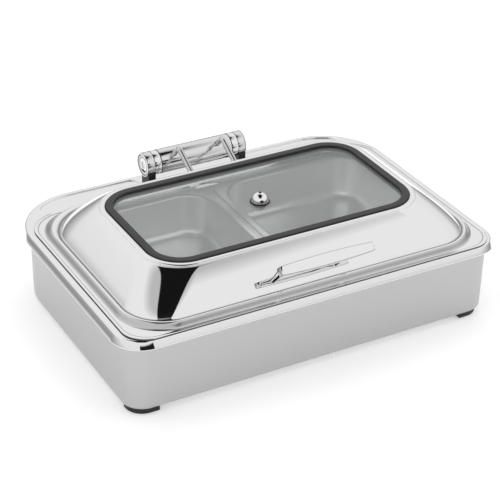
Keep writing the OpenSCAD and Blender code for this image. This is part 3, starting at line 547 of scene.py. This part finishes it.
flange_top = lid_low.z + lid_t
riser_top = flange_top + riser_h
hem_top = flange_top + hem_step
hem = ((0, lid_low.z, 1), (0, hem_top - hem_edge, 1), (hem_edge, hem_top, 0), (hem_w - hem_soft, hem_top, 0),
       (hem_w, hem_top - hem_dip, hem_shade), (hem_w + hem_step, flange_top, hem_shade),
       (hem_w + 2 * hem_step, flange_top, 0))
profile = [(u, u, z, 0, painted_shade) for u, z, painted_shade in hem]
for i in range(17):
    t = i / 16
    along = 3 * riser_pulls[0] * t * (1 - t) ** 2 + 3 * riser_pulls[1] * t * t * (1 - t) + t ** 3
    up = 3 * t * t * (1 - t) + t ** 3
    in_end, in_side = (a + (b - a) * along for a, b in zip(flange_in, riser_in))
    painted_shade = riser_shade * math.sin(math.pi * t) ** 0.5
    profile.append((in_end, in_side, flange_top + riser_h * up, 0.1 + 0.5 * t, painted_shade))
for i in range(13):
    t = i / 12
    dip = math.sin(math.pi * t)
    profile.append((ledge_in[0] + crease_w * t, ledge_in[1] + crease_w * t, riser_top - crease_d * dip,
                    0.8 + 0.2 * t, crease_shade * dip ** 2))
panel_in = (ledge_in[0] + crease_w, ledge_in[1] + crease_w)
for i in range(1, 41):
    p = bezier(i / 40)
    in_end = panel_in[0] + p.x * panel_run_end / panel_run
    profile.append((in_end, panel_in[1] + p.x, riser_top + p.y, 1 + i / 40, 0))
bead_in = (panel_in[0] + panel_run_end, panel_in[1] + panel_run)
for i in range(1, 17):
    a = math.pi * i / 16
    step = bead_w / 2 * (1 - math.cos(a))
    bead_z = riser_top + panel_h + bead_h * math.sin(a)
    profile.append((bead_in[0] + step, bead_in[1] + step, bead_z, 2 + i / 16, 0))
window_in = (bead_in[0] + bead_w, bead_in[1] + bead_w)
gasket_low, gasket_high = span("window_gasket")
window_seat_z, window_seat_w = gasket_low.z - seat_play, gasket_w - seat_lip
profile.append((*window_in, window_seat_z, 3, 0))
profile.append((window_in[0] + window_seat_w, window_in[1] + window_seat_w, window_seat_z, 3.8, 0))


def corner_radii(stage):
    low = [s for s in corner_stages if s[0] <= stage][-1]
    high = [s for s in corner_stages if s[0] > stage][0]
    t = (stage - low[0]) / (high[0] - low[0])
    return [a + (b - a) * t for a, b in zip(low[1:], high[1:])]


def underside(i):
    in_end, in_side, z, stage = profile[i][:4]
    if i == len(profile) - 1:
        return (in_end, in_side, z - lid_t, stage, 0)
    if i == len(profile) - 2:
        return (in_end - lid_t, in_side - lid_t, z - lid_t, stage, 0)
    a, b = profile[i - 1], profile[i + 1]
    at_end, at_side = Vector((b[0] - a[0], b[2] - a[2])), Vector((b[1] - a[1], b[2] - a[2]))
    return (in_end + lid_t * at_end.y / at_end.length, in_side + lid_t * at_side.y / at_side.length,
            max(lid_low.z, z - lid_t * at_end.x / at_end.length), stage, 0)


lines = profile + [underside(i) for i in range(len(profile) - 1, len(hem) - 1, -1)]
rings = []
for in_end, in_side, z, stage, painted_shade in lines:
    shift = flange_reach / 2 if stage == 0 else 0
    rings.append(ring(lid_hx - in_end, lid_hy - in_side + shift, *corner_radii(stage), z, lid_y - shift, 32))
lid_skin = piece("lid_skin", *loft(rings, closed=True), shade_painted, "polished_steel", "lid", "lid_shell", 40)
shade(lid_skin, [line[4] for line in lines for p in rings[0]])

# Window gasket: a black moulded silicone channel, pushed round the edge of the glass.
# It sits in the lid's window seat, with rounded edges above.
silicone = grained(material("silicone", (0.030, 0.030, 0.029), 0, 0.42), 700, 0.15, roughness=(0.38, 0.5))
gasket_edge, gasket_play, glass_play, groove_play = 0.8, 0.4, 0.05, 0.1
gasket_hx, gasket_hy, gasket_r = gasket_high.x, (gasket_high.y - gasket_low.y) / 2, window_r - gasket_play
glass_low, glass_high = span("window_glass")
groove_in = gasket_hx - glass_high.x - groove_play
groove_low, groove_high = glass_low.z - glass_play, glass_high.z + glass_play
edge_z = gasket_high.z - gasket_edge
profile = [(0, gasket_low.z)]
profile += [(gasket_edge - x, z) for x, z in arc(0, edge_z, gasket_edge, 0, 90, 5)]
profile += [(gasket_w - gasket_edge - x, z) for x, z in arc(0, edge_z, gasket_edge, 90, 180, 5)]
profile += [(gasket_w, groove_high), (groove_in, groove_high), (groove_in, groove_low),
            (gasket_w - gasket_edge, groove_low), (gasket_w - gasket_edge, gasket_low.z)]
rings = [ring(gasket_hx - u, gasket_hy - u, gasket_r - u, gasket_r - u, z, lid_y, 24) for u, z in profile]
piece("gasket_channel", *loft(rings, closed=True), silicone, "gasket", "lid", "window_gasket", 40)

# Window: a flat pane of clear toughened glass with rounded corners, held by the gasket.
# A hole in its middle takes the vent's stem.
glass = grained(material("glass", (0.86, 0.88, 0.88), 0, 0.05), 30, 0.003, roughness=(0.03, 0.07))
glass.node_tree.nodes["Principled BSDF"].inputs["Alpha"].default_value = 0.17
dressed(glass, "glass", "window_glass")

# Steam vent: a turned, polished steel dome with a hole through it, on a black rubber seal.
# A rubber washer and a steel nut hold its stem under the glass.
vent_low, vent_high = span("vent_cap")
vent_place = ((vent_low.x + vent_high.x) / 2, (vent_low.y + vent_high.y) / 2, 0)
seal_low, seal_high = span("vent_seal")
dome_r, dome_h, dome_lift, hole_r, stem_r = vent_high.x, vent_high.z - seal_high.z, 2, 2.25, 5
ball_r = (dome_r ** 2 + dome_h ** 2) / (2 * dome_h)
dome_foot = math.degrees(math.asin((ball_r - dome_h) / ball_r)) + dome_lift
dome_top = math.degrees(math.acos(hole_r / ball_r))
profile = [(hole_r, vent_low.z), (stem_r, vent_low.z), (stem_r, seal_high.z), (dome_r, seal_high.z)]
profile += arc(0, vent_high.z - ball_r, ball_r, dome_foot, dome_top, 24)
piece("vent_dome", *loft(turned(profile, vent_place, (0, 0, 1)), closed=True),
      polished, "polished_steel", "lid", "vent_cap", 50)
seal_play, seal_edge = 0.1, 0.8
seal_r, seal_bore_r = seal_high.x, stem_r + seal_play
profile = [(seal_bore_r, seal_low.z), (seal_r, seal_low.z)]
profile += arc(seal_r - seal_edge, seal_high.z - seal_edge, seal_edge, 0, 90, 4) + [(seal_bore_r, seal_high.z)]
piece("vent_ring", *loft(turned(profile, vent_place, (0, 0, 1)), closed=True),
      rubber, "rubber", "lid", "vent_seal")
dressed(rubber, "rubber", "vent_washer")
dressed(plain_steel, "plain_steel", "vent_nut")

# Handle: a polished steel bar whose face swells to the middle, on two round posts cut to the panel's slope.
# Screws and washers from inside the lid hold the posts; the bar's small edges carry painted shade as thin dark
# outlines.
bar_l, bar_end_h, bar_mid_h, bar_t, bar_edge, bar_edge_shade = 147, 12.5, 17, 11, 0.9, 0.6
bar_tilt, post_tilt, post_slope = (math.radians(a) for a in (46, 56, 52))
end_edge, end_round, post_gap, post_d = 0.8, 0.3, 102, 9.5
bar_low, bar_high = span("handle_bar")
bar_middle = Vector((0, (bar_low.y + bar_high.y) / 2, (bar_low.z + bar_high.z) / 2))
bar_out = Vector((0, -math.sin(bar_tilt), math.cos(bar_tilt)))
bar_up = Vector((0, math.cos(bar_tilt), math.sin(bar_tilt)))


def bar_ring(x, shrink):
    h = bar_end_h / 2 + (bar_mid_h - bar_end_h) / 2 * (1 - (2 * x / bar_l) ** 2) - shrink - bar_edge
    t = bar_t / 2 - shrink - bar_edge
    outline = []
    for out, up, start in ((t, h, 0), (-t, h, 90), (-t, -h, 180), (t, -h, 270)):
        outline += arc(out, up, bar_edge, start, start + 90, 4)
    return [Vector((x, 0, 0)) + bar_middle + out * bar_out + up * bar_up for out, up in outline]


half = bar_l / 2
rings = [bar_ring(-half, end_edge), bar_ring(-half + end_round, end_round), bar_ring(-half + end_edge, 0)]
rings += [bar_ring(-half + bar_l * i / 24, 0) for i in range(1, 24)]
rings += [bar_ring(half - end_edge, 0), bar_ring(half - end_round, end_round), bar_ring(half, end_edge)]
bar = piece("bar", *loft(rings, start=True, end=True), shade_painted, "polished_steel", "lid", "handle_bar", 40)
end_edges = (1, len(rings) - 2)
# Painted shade: thin dark lines along the bar's rounded edges and round its ends.
shade(bar, [bar_edge_shade if 0 < k % 5 < 4 or n in end_edges else 0
            for n in range(len(rings)) for k in range(len(rings[0]))])
post_way = Vector((0, math.sin(post_tilt), -math.cos(post_tilt)))
panel_out = Vector((0, -math.sin(post_slope), math.cos(post_slope)))
across = Vector((1, 0, 0))
other = post_way.cross(across)
for side, sign in (("left", -1), ("right", 1)):
    low, high = span("handle_post_" + side)
    start = bar_middle - bar_out * bar_t / 2 + sign * post_gap / 2 * across
    foot_z = low.z + post_d / 2 * math.sin(post_tilt)
    foot = start + post_way * (start.z - foot_z) / math.cos(post_tilt)
    rings = [[], []]
    for i in range(32):
        a = 2 * math.pi * i / 32
        line = start + post_d / 2 * (math.cos(a) * across + math.sin(a) * other)
        rings[0].append(line + post_way * ((start - line).dot(bar_out) / post_way.dot(bar_out)))
        rings[1].append(line + post_way * ((foot - line).dot(panel_out) / post_way.dot(panel_out)))
    piece("post_" + side, *loft(rings, start=True, end=True),
          polished, "polished_steel", "lid", "handle_post_" + side, 40)
dressed(plain_steel, "plain_steel", "handle_washers", "handle_screws")

# Hinge, turning side: a satin steel sleeve turns on bronze bushes, with an oil damper inside.
# Two bent steel rods join it to the lid's back panel; each has a round foot, and a stud with a washer and nut
# inside the lid.
bronze = grained(material("bronze", (0.50, 0.33, 0.12), 1, 0.4), 400, 0.05)
damper = grained(material("damper_body", (0.02, 0.02, 0.02), 0, 0.5), 600, 0.1)
dressed(bronze, "bush", "hinge_bush_left", "hinge_bush_right")
dressed(damper, "damper", "hinge_damper")
dressed(plain_steel, "plain_steel", "arm_washers", "arm_nuts")
sleeve_wall = 3.7
# The sleeve's rounded edges carry painted shade as dark lines.
barrel_piece("sleeve", barrel_ring(barrel_r, barrel_r - sleeve_wall, sleeve_low.x, sleeve_high.x), ring_edge_shade,
             satin, "brushed_steel", "lid", "hinge_sleeve", steps=96)
arm_steel = grained(material("arm_steel", (0.72, 0.72, 0.715), 1, 0.26), 40, 0.01, roughness=(0.22, 0.30))
arm_d, arm_bend_r, arm_rise, arm_sink, arm_turn = 8.72, 10, 41.3, 0.7, 131.8
arm_in, arm_up, arm_slope = 45.8, 27.9, math.radians(51.2)
arm_foot_d, arm_foot_t, stud_d, stud_l = 15, 3.2, 5, 8
hinge_middle = Vector((0, hinge_y, hinge_z))
arm_way = Vector((0, math.cos(math.radians(arm_turn)), math.sin(math.radians(arm_turn))))
arm_foot = Vector((0, lid_high.y - arm_in, riser_top + arm_up))
arm_corner = hinge_middle + arm_rise * arm_way
rise = (arm_corner - arm_foot).normalized()
bend_start = arm_corner - arm_bend_r * math.tan(rise.angle(-arm_way) / 2) * rise
bend_middle = bend_start + arm_bend_r * Vector((0, rise.z, -rise.y))
rise_turn = math.degrees(math.atan2(rise.z, rise.y))
arm_path = [(arm_foot, rise)]
for y, z in arc(0, 0, 1, rise_turn + 90, arm_turn - 90, 16):
    arm_path.append((bend_middle + arm_bend_r * Vector((0, y, z)), Vector((0, z, -y))))
arm_path.append((hinge_middle + (barrel_r - arm_sink) * arm_way, -arm_way))
foot_way = Vector((0, math.sin(arm_slope), math.cos(arm_slope)))
foot_profile = [(stud_d / 2, -stud_l), (stud_d / 2, 0), (arm_foot_d / 2, 0), (arm_foot_d / 2, arm_foot_t)]
for side in ("left", "right"):
    low, high = span("hinge_arm_" + side)
    middle = Vector(((low.x + high.x) / 2, 0, 0))
    rings = [turned([(arm_d / 2, 0)], middle + place, way, 32)[0] for place, way in arm_path]
    points, faces = loft(rings, start=True, end=True)
    foot_rings = turned(foot_profile, middle + arm_foot, foot_way, 32)
    foot_points, foot_faces = loft(foot_rings, start=True, end=True)
    faces += [tuple(len(points) + k for k in f) for f in foot_faces]
    piece("arm_" + side, points + foot_points, faces, arm_steel, "polished_steel", "lid", "hinge_arm_" + side)
